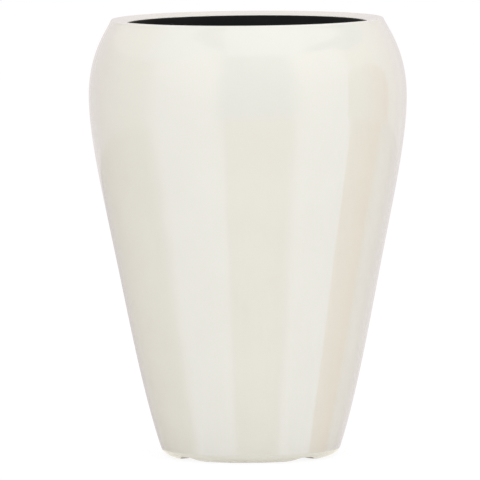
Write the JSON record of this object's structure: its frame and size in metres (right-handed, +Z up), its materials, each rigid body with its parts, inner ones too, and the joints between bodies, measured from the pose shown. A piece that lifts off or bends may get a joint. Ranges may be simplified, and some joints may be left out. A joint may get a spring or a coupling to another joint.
{
  "type": "tall floor planter",
  "caption": "Tall round high-gloss floor planter with an inward-sloping lip, crossed drainage channels under the foot and a black lift-out insert with swinging wire handles.",
  "frame": {"origin": "on the floor under the planter's axis", "axes": "+Z up along the planter's axis, -Y towards the front foot, +X towards the right foot"},
  "size_m": [0.5424, 0.5424, 0.7492],
  "materials": {
    "lacquered_fibreglass": "high-gloss pearl-white lacquer on fibreglass",
    "black_plastic": "matt black moulded plastic",
    "stainless_wire": "drawn stainless wire",
    "black_rubber": "matt black rubber"
  },
  "bodies": {
    "shell": {"outer_shell": "lacquered_fibreglass", "right_foot_pad": "black_rubber", "back_foot_pad": "black_rubber", "left_foot_pad": "black_rubber", "front_foot_pad": "black_rubber"},
    "insert": {"planting_insert": "black_plastic"},
    "right_handle": {"right_lift_handle": "stainless_wire"},
    "left_handle": {"left_lift_handle": "stainless_wire"},
    "plug": {"drain_plug": "black_rubber"}
  },
  "joints": [
    {"name": "insert_lift", "type": "slide", "parent": "shell", "child": "insert", "axis": [0, 0, 1], "range_m": [0, 0.36]},
    {"name": "plug_pull", "type": "slide", "parent": "shell", "child": "plug", "axis": [0, 0, 1], "range_m": [0, 0.05]},
    {"name": "right_handle_swing", "type": "hinge", "parent": "insert", "child": "right_handle", "pos_m": [0.14138, 0, 0.7264], "axis": [0, -1, 0], "range_deg": [0, 180]},
    {"name": "left_handle_swing", "type": "hinge", "parent": "insert", "child": "left_handle", "pos_m": [-0.14138, 0, 0.7264], "axis": [0, 1, 0], "range_deg": [0, 180]}
  ]
}
